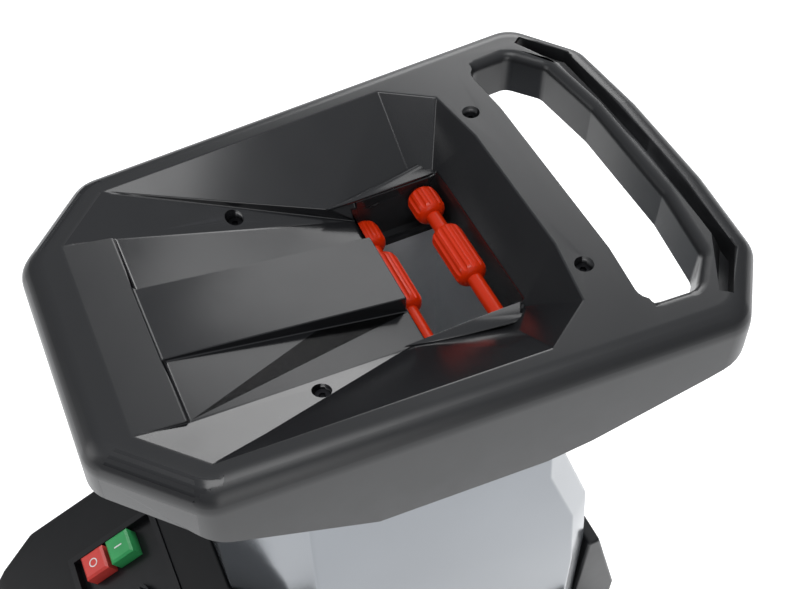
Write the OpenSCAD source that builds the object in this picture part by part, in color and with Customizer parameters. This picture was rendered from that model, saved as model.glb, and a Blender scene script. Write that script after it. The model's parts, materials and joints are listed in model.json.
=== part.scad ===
// Garden shredder with a slow crushing roller: a black hopper with a carrying handle on a grey
// column, a motor hood with the switch panel in front, and a wheeled base with a collecting box.
// +Z is up, +Y points to the handle and the wheels, -Y to the motor and the box front.
// The origin is on the floor, under the middle of the machine's footprint.

/* [Whole machine] */
// Height of the hopper's rim above the floor
rim_height = 965; // [900:5:1040]
// Height of the base deck's top face
deck_height = 400; // [380:5:405]
// Half of the base's width over its side walls
base_half_width = 164; // [150:1:180]

/* [Hopper] */
// Half-width of the rim at its widest, by the handle
rim_half_width = 172.5; // [168:0.5:178]
// Reach of the rim in front of the hopper's centre
rim_front = 229.5; // [222:0.5:240]
// Reach of the rim behind the hopper's centre
rim_rear = 257; // [254:0.5:264]
// Radius of the rolled top edge
rim_roll = 19; // [14:0.5:20]
// Outward slope of the skirt, in degrees
skirt_flare = 4; // [2:0.5:6]
// Depth of the skirt at its lowest
skirt_depth = 90; // [80:1:100]
// Wall of the hopper
hopper_wall = 3.5; // [2.5:0.5:4.5]
// Depth of the hand opening's walls
grip_depth = 38; // [25:1:50]
// Width of the slot behind the hand opening
slot_width = 9.5; // [8:0.5:11]
// Half-width of the raised middle panel of the ramp
panel_half_width = 32.5; // [26:0.5:38]

/* [Throat] */
// Half-width of the throat
throat_half_width = 64; // [60:1:66]
// Half of the upper throat's width, between the walls that carry the guide rollers
guide_half_width = 70; // [67:1:74]
// Front wall of the throat
throat_front = 17; // [14:1:18]
// Rear wall of the throat
throat_rear = 91; // [90:1:94]
// Diameter of the guide rollers' barrels
barrel_diameter = 25; // [20:1:26]
// Diameter of the guide rollers' rods
guide_rod_diameter = 12; // [10:0.5:14]

/* [Column] */
// Half-width of the column at its neck
neck_half_width = 112; // [105:1:116]
// Half-width of the column where it meets the deck
column_half_width = 132; // [128:1:138]
// Wall of the column
column_wall = 3.5; // [2.5:0.5:4.5]

/* [Motor hood] */
// Half-width of the hood
hood_half_width = 105; // [98:1:112]
// Reach of the hood in front of the hopper's centre
hood_reach = 374; // [365:1:400]
// Slope of the hood's top, in degrees
hood_tilt = 24.6; // [18:0.2:28]
// Wall of the hood
hood_wall = 3; // [2:0.5:4]

/* [Crushing unit] */
// Diameter of the crushing roller over its teeth
roller_diameter = 92; // [84:1:94]
// Number of teeth on the crushing roller
roller_teeth = 8; // [6:1:10]
// Gap between the roller and the counter plate
crush_gap = 0.8; // [0.5:0.1:2]
// Diameter of the roller's shaft
roller_shaft_diameter = 20; // [17:1:22]
// Teeth of the motor pinion, its gear, the middle pinion, its gear, the last pinion and the roller gear
gear_teeth = [11, 45, 12, 45, 12, 48]; // [10:1:48]
// Tooth modules of the three stages
gear_modules = [1.25, 1.75, 2.5]; // [1:0.25:3]

/* [Motor] */
// Outer diameter of the motor frame
motor_diameter = 140; // [130:1:144]
// Diameter of the motor shaft
motor_shaft_diameter = 15; // [12:1:16]

/* [Wheels] */
// Diameter of a wheel over its tyre
wheel_diameter = 190; // [170:5:200]
// Width of a tyre
tyre_width = 40; // [30:1:46]
// Diameter of the axle
axle_diameter = 12; // [10:1:14]

/* [Controls] */
// Side of a square push button
button_side = 24; // [18:1:25]
// Diameter of the direction knob
dial_diameter = 38; // [30:1:40]
// Diameter of the gap-adjusting knob
adjuster_knob_diameter = 52; // [40:1:60]

/* [Hidden] */
// The name of one node draws it alone, and "all" draws every node.
$fn = 64;

// Clearances
slip = 0.05; // radial, for shafts that turn in bores
play = 0.5; // per side, for parts that slide past each other
far = 400; // reach of a cutting body that ends outside the part

// ---- Outline helpers: a list of corners, counter-clockwise seen from above ----

// Corner where two lines, each a point and a direction, cross
function crossing(p, u, q, v) =
    let (d = u[0] * v[1] - u[1] * v[0], w = q - p)
    p + u * ((w[0] * v[1] - w[1] * v[0]) / d);

// Outline moved outwards by d, or inwards when d is negative
function grown(pts, d) = [
    for (i = [0 : len(pts) - 1])
        let (
            n = len(pts), a = pts[(i + n - 1) % n], b = pts[i], c = pts[(i + 1) % n],
            u = (b - a) / norm(b - a), v = (c - b) / norm(c - b)
        )
        crossing(b + d * [u[1], -u[0]], u, b + d * [v[1], -v[0]], v)
];

// Outline with each corner rounded to a radius, with the given number of steps in each arc
function rounded(pts, r, steps = 5) = [
    for (i = [0 : len(pts) - 1])
        let (
            n = len(pts), b = pts[i],
            u = (pts[(i + n - 1) % n] - b) / norm(pts[(i + n - 1) % n] - b),
            v = (pts[(i + 1) % n] - b) / norm(pts[(i + 1) % n] - b),
            half = acos(u * v) / 2,
            m = (u + v) / norm(u + v),
            centre = b + m * (r / sin(half)),
            from = b + u * (r / tan(half)) - centre,
            to = b + v * (r / tan(half)) - centre,
            turn = (from[0] * to[1] - from[1] * to[0] < 0 ? -1 : 1) * (180 - 2 * half)
        )
        for (k = [0 : steps])
            let (a = turn * k / steps)
            centre + [from[0] * cos(a) - from[1] * sin(a), from[0] * sin(a) + from[1] * cos(a)]
];

// Right half of a symmetric outline, front to back, with its mirror image added
function mirrored(half) = concat(
    half,
    [for (i = [len(half) - 1 : -1 : 0]) if (half[i][0] != 0) [-half[i][0], half[i][1]]]
);

function box_outline(x0, x1, y0, y1) = [[x0, y0], [x1, y0], [x1, y1], [x0, y1]];

function at_height(pts, z) = [for (p = pts) [p[0], p[1], z]];

// Closed band of a width along a path of points
function band(path, width) =
    let (
        n = len(path),
        dirs = [for (i = [0 : n - 1])
            let (d = path[min(i + 1, n - 1)] - path[max(i - 1, 0)]) d / norm(d)],
        side = [for (i = [0 : n - 1]) [dirs[i][1], -dirs[i][0]] * width / 2]
    )
    concat(
        [for (i = [0 : n - 1]) path[i] + side[i]],
        [for (i = [n - 1 : -1 : 0]) path[i] - side[i]]
    );

// Solid skinned over rings of equal length, listed from the bottom up
module loft(rings) {
    n = len(rings[0]);
    top = len(rings) - 1;
    polyhedron(
        points = [for (ring = rings) for (p = ring) p],
        faces = concat(
            [[for (i = [0 : n - 1]) i]],
            [[for (i = [n - 1 : -1 : 0]) top * n + i]],
            [for (k = [0 : top - 1]) for (i = [0 : n - 1])
                let (a = k * n + i, b = k * n + (i + 1) % n) for (f = [[a, a + n, b + n], [a, b + n, b]]) f]
        )
    );
}

// Profile of [y, z] points drawn across the machine from x0 to x1
module across(profile, x0, x1) {
    translate([x0, 0, 0])
        rotate([90, 0, 90])
            linear_extrude(x1 - x0)
                polygon(profile);
}

// Cylinder along X, from x0 to x1, on the line through y and z
module rod_x(r, x0, x1, y, z) {
    translate([x0, y, z])
        rotate([0, 90, 0])
            cylinder(r = r, h = x1 - x0);
}

// Cylinder along Y, from y0 to y1, on the line through the point [x, z]
module rod_y(r, y0, y1, at) {
    translate([at[0], y0, at[1]])
        rotate([-90, 0, 0])
            cylinder(r = r, h = y1 - y0);
}

module ring_y(outer, inner, y0, y1, at) {
    difference() {
        rod_y(outer, y0, y1, at);
        rod_y(inner, y0 - 1, y1 + 1, at);
    }
}

// Block between two opposite corners
module block(low, high) {
    translate(low)
        cube(high - low);
}

// ---- Places along the machine's length and height ----
tyre_clearance = 4;
axle_y = 205;
axle_z = wheel_diameter / 2;
front_most = hood_reach;
rear_most = axle_y + wheel_diameter / 2;
// The hopper's own centre line lies this far from the middle of the footprint
hopper_y = (front_most - rear_most) / 2;

// Everything is drawn about the hopper's centre and moved so that the origin is mid-footprint
module placed(shade) {
    color(shade)
        translate([0, hopper_y, 0])
            children();
}

// ---- Hopper ----
rim_half_front = 148;
rim_corners = mirrored([
    [86, -rim_front], [rim_half_front, 59.5 - rim_front], [rim_half_width, rim_rear - 49.5],
    [118.5, rim_rear - 7.5], [45, rim_rear - 1]
]);
function rim(d, r = 20) = rounded(grown(rim_corners, d), r);
function flare_at(depth) = depth * tan(skirt_flare);
skirt_profile = [
    [-far, -38], [-185, -42], [-65, -skirt_depth], [60, -skirt_depth], [95, -0.93 * skirt_depth],
    [182, -0.63 * skirt_depth], [222, -42], [far, -40], [far, -far], [-far, -far]
];

// Corners of the funnel, right half: x, y and depth below the rim
plate_front = [85, -197, 0];
funnel_front = [125, -158, 0];
funnel_side = [138, 71, 0];
funnel_back = [112, 110, 0];
funnel_middle = [60, 118, 0];
plate_back = [85, -162, -7];
strip_front = [84, -160, -10];
strip_back = [throat_half_width, throat_front + 2, -55];
ridge_tip = [71, 0, -40];
wall_foot = [85, 73, -42];
throat_corner = [guide_half_width + 5, throat_rear - 2, -39];
panel_profile = [[-163, -7], [throat_front - 1, -39], [throat_front - 1, -80], [-163, -80]];

module funnel_void() {
    right = [plate_front, funnel_front, funnel_side, funnel_back, funnel_middle,
        plate_back, strip_front, strip_back, ridge_tip, wall_foot, throat_corner];
    n = len(right);
    pf = 0; ff = 1; fs = 2; fb = 3; fm = 4; pb = 5; sf = 6; sb = 7; rt = 8; wf = 9; tc = 10;
    half_faces = [
        [pf, pb, sf], [pf, sf, ff], [ff, sf, sb], [ff, sb, rt],
        [ff, rt, fs], [fs, rt, wf], [fs, wf, tc], [fs, tc, fb], [fb, tc, fm],
        [rt, sb, wf], [wf, sb, tc]
    ];
    union() {
        polyhedron(
            points = concat(right, [for (p = right) [-p[0], p[1], p[2]]]),
            faces = concat(
                [for (f = half_faces) [f[2], f[1], f[0]]],
                [for (f = half_faces) [for (i = f) i + n]],
                [for (pair = [[pf, pb], [pb, sf], [sf, sb], [sb, tc], [tc, fm]])
                    let (a = pair[0], b = pair[1])
                    for (f = [[b + n, a + n, a], [b, b + n, a]]) f],
                [[pf + n, ff + n, fs + n, fb + n, fm + n, fm, fb, fs, ff, pf]]
            )
        );
        linear_extrude(2)
            polygon(mirrored([for (p = [plate_front, funnel_front, funnel_side, funnel_back,
                funnel_middle]) [p[0], p[1]]]));
    }
}

grip_corners = mirrored([[80, 151], [131, 146], [134, 187], [110, 208], [50, 216]]);
slot_path = [
    [147, 202], [114.5, 227], [58, 230.6], [0, 232], [-58, 230.6], [-114.5, 227], [-147, 202]
];
side_screw_at = [85.6, -72, -29.6];
rear_screw_at = [85, 127, 0];
screw_recess = 7;
boss_foot = -64;

module both_sides() {
    children();
    mirror([1, 0, 0])
        children();
}

front_guide_at = [throat_front + barrel_diameter / 2 - 6, -70];
rear_guide_at = [throat_rear - barrel_diameter / 2 - 3.5, -54];
guide_stub_diameter = 8;
guide_bush_diameter = 12;
collar_wall = 5;
guide_recess = 8;
guide_recess_low = front_guide_at[1] - barrel_diameter / 2 - 3.5;
guide_recess_high = front_guide_at[1] + barrel_diameter / 2 + 1.5;
collar_depth = 92;

module hopper() {
    placed("#3a3b3e")
        translate([0, 0, rim_height])
            difference() {
                union() {
                    hopper_shell();
                    hopper_pan();
                    hopper_grip_walls();
                    hopper_collar();
                    both_sides()
                        for (at = [side_screw_at, rear_screw_at])
                            translate([at[0], at[1], boss_foot])
                                cylinder(r = 10, h = at[2] - 2 - boss_foot);
                }
                hopper_openings();
            }
}

// Outline of the rolled edge where its quarter circle of the given radius stands at angle a
function rolled_edge(radius, a) = at_height(
    rim(flare_at(rim_roll) - rim_roll + radius * cos(a), 24), radius * sin(a) - rim_roll
);

module hopper_shell() {
    difference() {
        loft(concat(
            [at_height(rim(flare_at(skirt_depth + 6), 34), -skirt_depth - 6)],
            [for (a = [0 : 15 : 90]) rolled_edge(rim_roll, a)]
        ));
        loft(concat(
            [at_height(rim(flare_at(skirt_depth + 8) - hopper_wall, 31), -skirt_depth - 8)],
            [for (a = [0 : 30 : 90]) rolled_edge(rim_roll - hopper_wall, a)]
        ));
        across(skirt_profile, -far, far);
    }
}

module hopper_pan() {
    pan = 4;
    difference() {
        union() {
            translate([0, 0, -pan])
                funnel_void();
            across(panel_profile, -panel_half_width, panel_half_width);
        }
        translate([0, 0, -pan])
            across(panel_profile, pan - panel_half_width, panel_half_width - pan);
        translate([0, 0, -far - 59])
            linear_extrude(far)
                square(2 * far, center = true);
    }
}

module hopper_grip_walls() {
    translate([0, 0, -grip_depth])
        linear_extrude(grip_depth - 1)
            difference() {
                polygon(rounded(grown(grip_corners, 3), 15));
                polygon(rounded(grip_corners, 12));
            }
    translate([0, 0, -22])
        linear_extrude(20)
            polygon(band(slot_path, slot_width + 5));
}

// Duct below the funnel that holds the guide rollers
module hopper_collar() {
    outer = guide_half_width + collar_wall;
    front = throat_front - guide_recess - 4;
    translate([0, 0, -collar_depth])
        linear_extrude(collar_depth - 45)
            difference() {
                polygon(box_outline(-outer, outer, front, throat_rear + 4));
                polygon(box_outline(-throat_half_width, throat_half_width, throat_front, throat_rear));
            }
    both_sides()
        block([guide_half_width, throat_front + 4, -50], [outer + 2, throat_rear + 4, -40]);
    block([-outer, throat_rear, -50], [outer, throat_rear + 4, -40]);
}

module hopper_openings() {
    difference() {
        funnel_void();
        across(panel_profile, -panel_half_width, panel_half_width);
        both_sides()
            block([guide_half_width, throat_front + 4, -50], [guide_half_width + 7, throat_rear + 4, -40]);
        block([-guide_half_width, throat_rear, -50], [guide_half_width, throat_rear + 4, -40]);
    }
    translate([0, 0, -collar_depth - 1])
        linear_extrude(collar_depth + 2)
            polygon(box_outline(-throat_half_width, throat_half_width, throat_front, throat_rear));
    block([-guide_half_width, throat_front, guide_recess_low], [guide_half_width, throat_rear, 1]);
    block([-guide_half_width, throat_front - guide_recess, guide_recess_low],
        [guide_half_width, throat_front + 1, guide_recess_high]);
    translate([0, 0, -far])
        linear_extrude(far + 2)
            polygon(rounded(grip_corners, 12));
    translate([0, 0, -18])
        linear_extrude(20)
            polygon(band(slot_path, slot_width));
    both_sides()
        for (at = [side_screw_at, rear_screw_at]) {
            translate([at[0], at[1], at[2] - 10])
                cylinder(r = screw_recess, h = 20);
            translate([at[0], at[1], boss_foot - 1])
                cylinder(r = 2.6, h = 60);
        }
    for (at = [front_guide_at, rear_guide_at])
        rod_x(guide_bush_diameter / 2, -far / 4, far / 4, at[0], at[1]);
}

// Screws that hold the hopper to the lugs of the column
module hopper_screws() {
    placed("#2a2a2c")
        both_sides()
            for (at = [side_screw_at, rear_screw_at])
                translate([at[0], at[1], rim_height + at[2] - 10])
                    hex_screw(5.5, 4, 2.5, at[2] - 10 - boss_foot + 3.5);
}

// Cap screw with a hexagon socket, its head's underside at z = 0
module hex_screw(head_r, head_h, shank_r, length) {
    difference() {
        union() {
            cylinder(r = head_r, h = head_h);
            translate([0, 0, -length])
                cylinder(r = shank_r, h = length + 1);
        }
        translate([0, 0, head_h / 2])
            cylinder(r = head_r * 0.5, h = head_h, $fn = 6);
    }
}

// ---- Guide rollers ----
flutes = 12;
barrel_radius = barrel_diameter / 2;

// Fluted barrel with round shoulders, centred on x
module barrel(x, length) {
    shoulder = 7;
    translate([x - length / 2, 0, 0])
        rotate([0, 90, 0])
            intersection() {
                rotate_extrude()
                    polygon(concat(
                        [[0, 0]],
                        [for (a = [0 : 15 : 90])
                            [barrel_radius - shoulder + shoulder * sin(a), shoulder * (1 - cos(a))]],
                        [for (a = [90 : -15 : 0])
                            [barrel_radius - shoulder + shoulder * sin(a),
                             length - shoulder * (1 - cos(a))]],
                        [[0, length]]
                    ));
                linear_extrude(length)
                    difference() {
                        circle(barrel_radius);
                        for (i = [0 : flutes - 1])
                            rotate(i * 360 / flutes)
                                translate([barrel_radius + 1.1, 0])
                                    circle(2.5, $fn = 24);
                    }
            }
}

module guide_roller(at, barrels) {
    placed("#e03c0f")
        translate([0, at[0], rim_height + at[1]]) {
            reach = guide_half_width - play;
            rod_x(guide_rod_diameter / 2, -reach, reach, 0, 0);
            rod_x(guide_stub_diameter / 2, -reach - collar_wall - 1, reach + collar_wall + 1, 0, 0);
            for (b = barrels)
                barrel(b[0], b[1]);
        }
}

module front_guide_roller() {
    guide_roller(front_guide_at, [[-55.5, 26], [-5, 56]]);
}

module rear_guide_roller() {
    guide_roller(rear_guide_at, [[-55.5, 26], [1, 52]]);
}

module guide_bushes() {
    placed("#1c1c1e")
        both_sides()
            for (at = [front_guide_at, rear_guide_at])
                translate([0, at[0], rim_height + at[1]])
                    difference() {
                        rod_x(guide_bush_diameter / 2, guide_half_width, guide_half_width + collar_wall,
                            0, 0);
                        rod_x(guide_stub_diameter / 2 + slip, guide_half_width - 1,
                            guide_half_width + collar_wall + 1, 0, 0);
                    }
}

// ---- Feed chute between the hopper's collar and the crushing chamber ----
roller_at = [16, deck_height + 225];
chamber_half_width = 66;
chamber_front = 17;
chamber_rear = 89;
chamber_top = roller_at[1] + 61;
chute_wall = 2;
collar_foot = rim_height - collar_depth;
gasket_height = 4;
chute_top = collar_foot - gasket_height;

module duct(half, front, back, wall, low, high) {
    translate([0, 0, low])
        linear_extrude(high - low)
            difference() {
                polygon(box_outline(-half - wall, half + wall, front - wall, back + wall));
                polygon(box_outline(-half, half, front, back));
            }
}

module feed_chute() {
    placed("#a9adb0") {
        duct(throat_half_width, chamber_front, throat_rear, chute_wall, chamber_top, chute_top);
        duct(throat_half_width, chamber_front, throat_rear, 6, chamber_top, chamber_top + 3);
        duct(throat_half_width, chamber_front, throat_rear, 6, chute_top - 3, chute_top);
    }
}

module chute_gasket() {
    placed("#202022")
        duct(throat_half_width, throat_front, throat_rear, 4, chute_top, collar_foot);
}

// ---- Column: two grey shells joined at the middle ----
// Each level: height, half-width, front reach of the sides, rear reach
column_levels = [
    [deck_height, column_half_width, 106, 178],
    [rim_height - 415, column_half_width - 3, 105, 174],
    [rim_height - 321, column_half_width - 6, 104, 164],
    [rim_height - 236, neck_half_width + 8, 103, 134],
    [rim_height - 64, neck_half_width, 100, 122]
];
column_front = 164;
column_chamfer_x = 60;
function column_ring(level, d) = at_height(
    rounded(grown(mirrored([
        [column_chamfer_x, -column_front], [level[1], -level[2]],
        [level[1], level[3] - 24], [level[1] - 16, level[3]]
    ]), d), 5, 3),
    level[0]
);
motor_at = [0, deck_height + 100];
lug_height = rim_height + boss_foot;
motor_window = motor_diameter / 2 + 6;

module column_body() {
    difference() {
        union() {
            difference() {
                loft([for (level = column_levels) column_ring(level, 0)]);
                loft([for (i = [0 : len(column_levels) - 1])
                    let (level = column_levels[i], last = len(column_levels) - 1)
                    column_ring([level[0] + (i == 0 ? -1 : i == last ? 1 : 0), level[1], level[2], level[3]],
                        -column_wall)]);
            }
            column_lid();
        }
        rod_y(motor_window, -far, -column_front + 12, motor_at);
        rod_x(adjuster_collar / 2 + play, -far, 0, adjuster_y, roller_at[1]);
        translate([0, 0, lug_height - 5])
            linear_extrude(6)
                polygon(box_outline(-guide_half_width - 7, guide_half_width + 7,
                    throat_front - guide_recess - 7, throat_rear + 7));
        both_sides()
            for (at = [side_screw_at, rear_screw_at])
                translate([at[0], at[1], lug_height - 6])
                    cylinder(r = 2.6, h = 8);
        both_sides()
            rear_recess();
    }
}

// Plate under the hopper's bosses
module column_lid() {
    translate([0, 0, lug_height - 4])
        linear_extrude(4)
            polygon(rounded(mirrored([[55, -142], [97, -92], [97, 138], [60, 139]]), 6, 3));
}

// Hand recess in each rear corner
module rear_recess() {
    translate([column_half_width + 4, 0.5 * (column_levels[2][3] + column_levels[1][3]) + 6,
        rim_height - 368])
        rotate([0, 0, 40])
            cube([30, 60, 84], center = true);
}

module column_half(side) {
    placed("#b9bec2")
        intersection() {
            column_body();
            block([side < 0 ? -far : 0, -far, 0], [side < 0 ? 0 : far, far, rim_height + far]);
        }
}

module column_left() {
    column_half(-1);
}

module column_right() {
    column_half(1);
}

// ---- Hood over the motor ----
hood_floor = deck_height + 12;
hood_split = motor_at[1] - 14;
hood_pivot = [-242, rim_height - 350];
function hood_top(y) = hood_pivot[1] + (y - hood_pivot[0]) * tan(hood_tilt);
hood_taper = 56; // length of the tapered nose
hood_plan = [
    [-hood_half_width, 0],
    [-hood_half_width, hood_taper - hood_reach], [-hood_half_width + 29, -hood_reach],
    [hood_half_width - 29, -hood_reach], [hood_half_width, hood_taper - hood_reach], [hood_half_width, 0]
];
// Side view of the hood, moved inwards by d
function hood_profile(d) = grown([
    [-hood_reach + 12, hood_floor], [0, hood_floor], [0, hood_top(0)],
    [-hood_reach + 22, hood_top(-hood_reach + 22)], [-hood_reach + 4, hood_top(-hood_reach) - 6],
    [-hood_reach, hood_top(-hood_reach) - 26], [-hood_reach, hood_floor + 14]
], -d);
panel_half = [54, 48]; // half-size of the switch panel
panel_y = -247;

// Places children on the hood's sloping top, at the middle of the switch panel
module on_hood() {
    translate([0, panel_y, hood_top(panel_y)])
        rotate([hood_tilt, 0, 0])
            children();
}

module hood_solid(d) {
    intersection() {
        translate([0, 0, hood_floor])
            linear_extrude(rim_height)
                polygon(rounded(grown(hood_plan, -d), 12, 3));
        across(hood_profile(d), -far, far);
    }
}

module hood_shell() {
    seat = 2;
    difference() {
        hood_solid(0);
        hood_solid(hood_wall);
        loft([for (level = column_levels) column_ring(level, 0.3)]);
        on_hood()
            block([seat - panel_half[0], seat - panel_half[1], -12], [panel_half[0] - seat, panel_half[1] - seat, 12]);
        vent_slots();
    }
}

module vent_slots() {
    slots = 7;
    pitch = 16;
    for (i = [0 : slots - 1])
        translate([(i - (slots - 1) / 2) * pitch - 3.5, -hood_reach - 8, motor_at[1] - 60])
            cube([7, 16, 34]);
}

inlet_at = [-285, motor_at[1] + 40];
inlet_radius = 23;

module motor_hood() {
    placed("#2a2b2d")
        difference() {
            hood_shell();
            block([-far, -2 * far, 0], [far, far, hood_split]);
            rod_x(inlet_radius, 0, far, inlet_at[0], inlet_at[1]);
        }
}

module hood_tray() {
    placed("#1f2022")
        difference() {
            hood_shell();
            block([-far, -2 * far, hood_split], [far, far, 2 * rim_height]);
        }
}

// ---- Switch panel on the hood ----
panel_floor = -8;
button_u = -33;
stop_v = -20;
start_v = 8;
dial_at = [21, 0];
reset_at = [32, -34];
button_travel = 4;
panel_depth = 22;

module switch_box() {
    tub = panel_half - [2.5, 2.5];
    placed("#232426")
        on_hood()
            difference() {
                union() {
                    block([-panel_half[0], -panel_half[1], 0], [panel_half[0], panel_half[1], 1.6]);
                    block([-tub[0], -tub[1], -panel_depth], [tub[0], tub[1], 1]);
                }
                block([3 - tub[0], 3 - tub[1], panel_floor], [tub[0] - 3, tub[1] - 3, 3]);
                block([2 - tub[0], 2 - tub[1], -far], [tub[0] - 2, tub[1] - 2, panel_floor - 2.5]);
                for (v = [stop_v, start_v])
                    translate([button_u, v, 0])
                        cube([button_side + 2 * play, button_side + 2 * play, 60], center = true);
                translate([dial_at[0], dial_at[1], panel_floor - 5])
                    cylinder(r = 3 + slip, h = 10);
                translate([reset_at[0], reset_at[1], panel_floor - 5])
                    cylinder(r = 5.4, h = 10);
            }
}

module push_button(v, shade) {
    half = button_side / 2;
    placed(shade)
        on_hood()
            translate([button_u, v, 0]) {
                hull() {
                    block([-half, -half, -9], [half, half, 6]);
                    block([2 - half, 2 - half, 6], [half - 2, half - 2, 8]);
                }
                block([-4, -4, 0.6 + button_travel - panel_depth], [4, 4, -8]);
            }
}

module stop_button() {
    push_button(stop_v, "#c93a35");
}

module start_button() {
    push_button(start_v, "#2f9a4f");
}

// Turning knob that picks the roller's direction
module direction_knob() {
    r = dial_diameter / 2;
    placed("#2c2d30")
        on_hood()
            translate([dial_at[0], dial_at[1], 0]) {
                translate([0, 0, panel_floor + 0.3])
                    cylinder(r = r, h = 8);
                translate([0, 0, panel_floor + 8])
                    intersection() {
                        cylinder(r = r - 1.5, h = 12);
                        translate([0, 0, 6])
                            cube([9, 2 * r, 12], center = true);
                    }
                translate([0, 0, 1 - panel_depth])
                    cylinder(r = 3, h = panel_depth - 6);
            }
}

module reset_button() {
    placed("#b3261c")
        on_hood()
            translate([reset_at[0], reset_at[1], 0]) {
                translate([0, 0, 1 + button_travel - panel_depth])
                    cylinder(r = 5, h = panel_depth - 4);
            }
}

// Switch body hung under the panel, with the contacts and return springs sealed inside
module switch_block() {
    placed("#3b3c40")
        on_hood()
            difference() {
                block([-49, stop_v - 14, -panel_depth - 9], [-19, start_v + 14, -panel_depth]);
            }
}

module mains_inlet() {
    placed("#151517")
        difference() {
            union() {
                rod_x(inlet_radius - 0.3, hood_half_width - 26, hood_half_width + 6, inlet_at[0], inlet_at[1]);
                rod_x(inlet_radius + 5, hood_half_width + 0.2, hood_half_width + 3, inlet_at[0], inlet_at[1]);
            }
            rod_x(inlet_radius - 4, hood_half_width - 22, far, inlet_at[0], inlet_at[1]);
            for (p = inlet_pin_places)
                rod_x(2.4, 0, far, inlet_at[0] + p[0], inlet_at[1] + p[1]);
        }
}

inlet_pin_places = [[-9.5, 0], [9.5, 0], [0, -10]];

module inlet_pins() {
    placed("#c9b26a")
        for (p = inlet_pin_places)
            rod_x(2.4, hood_half_width - 30, hood_half_width - 2, inlet_at[0] + p[0], inlet_at[1] + p[1]);
}

capacitor_radius = 17;

// Motor run capacitor clipped to the hood's side
module capacitor() {
    placed("#d7d8da")
        rod_y(capacitor_radius, -300, -225,
            [capacitor_radius + hood_wall + 0.3 - hood_half_width, motor_at[1] + 40]);
}

// ---- Crushing chamber ----
plate_thickness = 15;
plate_half_width = 95;
bearing_radius = 23.5;
bolt_places = [for (x = [-86, 86]) for (z = [deck_height + 25, roller_at[1] + 52]) [x, z]];

module end_plate(y0) {
    placed("#8f9498")
        difference() {
            block([-plate_half_width, y0, deck_height], [plate_half_width, y0 + plate_thickness, chamber_top]);
            rod_y(bearing_radius, y0 - 1, y0 + plate_thickness + 1, roller_at);
            for (at = bolt_places)
                rod_y(4.2, y0 - 1, y0 + plate_thickness + 1, at);
        }
}

module front_plate() {
    end_plate(chamber_front - plate_thickness);
}

module rear_plate() {
    end_plate(chamber_rear);
}

side_thickness = 6;
adjuster_y = (chamber_front + chamber_rear) / 2;
adjuster_collar = 24;
bush_radius = 10;

module chamber_sides() {
    placed("#9da2a6")
        difference() {
            both_sides()
                block([chamber_half_width, chamber_front, deck_height],
                    [chamber_half_width + side_thickness, chamber_rear, chamber_top]);
            rod_x(bush_radius, -far, 0, adjuster_y, roller_at[1]);
        }
}

// Tie bolts through both end plates, and the screws of the gearbox cover
module unit_bolts() {
    placed("#6f7377") {
        for (at = bolt_places) {
            rod_y(4, chamber_front - plate_thickness - 8, chamber_rear + plate_thickness + 3, at);
            hexagon_y(7, chamber_rear + plate_thickness, chamber_rear + plate_thickness + 6, at);
            hexagon_y(7, chamber_front - plate_thickness - 7, chamber_front - plate_thickness, at);
        }
        for (at = cover_screw_places)
            hexagon_y(5, gear_cover_front - 4, gear_cover_front, at);
    }
}

module hexagon_y(r, y0, y1, at) {
    translate([at[0], y0, at[1]])
        rotate([-90, 0, 0])
            cylinder(r = r, h = y1 - y0, $fn = 6);
}

roller_length = chamber_rear - chamber_front - 4;

// Steel drum with saw-shaped teeth
module crushing_roller() {
    tip = roller_diameter / 2;
    root = tip - 9;
    pitch = 360 / roller_teeth;
    placed("#5d6165")
        translate([roller_at[0], chamber_front + 2, roller_at[1]])
            rotate([-90, 0, 0])
                linear_extrude(roller_length)
                    difference() {
                        polygon([for (i = [0 : roller_teeth - 1])
                            for (p = [[tip, 0], [tip, 6], [root, 11], [root, 22], [root, 33]])
                                p[0] * [cos(i * pitch + p[1]), sin(i * pitch + p[1])]]);
                        circle(roller_shaft_diameter / 2);
                    }
}

module roller_shaft() {
    placed("#a5a9ad")
        rod_y(roller_shaft_diameter / 2, gear_planes[5][0] - 4, chamber_rear + plate_thickness + 2, roller_at);
}

module roller_bearings() {
    placed("#b9bdc0")
        for (y = [chamber_front - plate_thickness + 1, chamber_rear + 1])
            ring_y(bearing_radius, roller_shaft_diameter / 2 + slip, y, y + 13, roller_at);
}

// ---- Counter plate and its adjuster ----
counter_back = -60;
counter_travel = 4;

module counter_plate() {
    placed("#c2c6c9")
        difference() {
            translate([0, chamber_rear - 1, roller_at[1]])
                rotate([90, 0, 0])
                    linear_extrude(chamber_rear - chamber_front - 2)
                        polygon([[counter_back, -38], [-22, -38], [-16, 44], [counter_back, 58]]);
            rod_y(roller_diameter / 2 + crush_gap, 0, far, roller_at);
            rod_x(5.3, counter_back - 1, counter_back + 16, adjuster_y, roller_at[1]);
        }
}

module adjuster_bush() {
    placed("#8d7a3c")
        difference() {
            union() {
                rod_x(bush_radius, -chamber_half_width - side_thickness, -chamber_half_width,
                    adjuster_y, roller_at[1]);
                rod_x(bush_radius + 4, -chamber_half_width - side_thickness - 6,
                    -chamber_half_width - side_thickness, adjuster_y, roller_at[1]);
            }
            rod_x(5 + slip, -far, 0, adjuster_y, roller_at[1]);
        }
}

knob_x = -column_half_width - 2;

module adjuster_screw() {
    placed("#9fa3a6")
        rod_x(5, knob_x - 12, counter_back + 10, adjuster_y, roller_at[1]);
}

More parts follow.
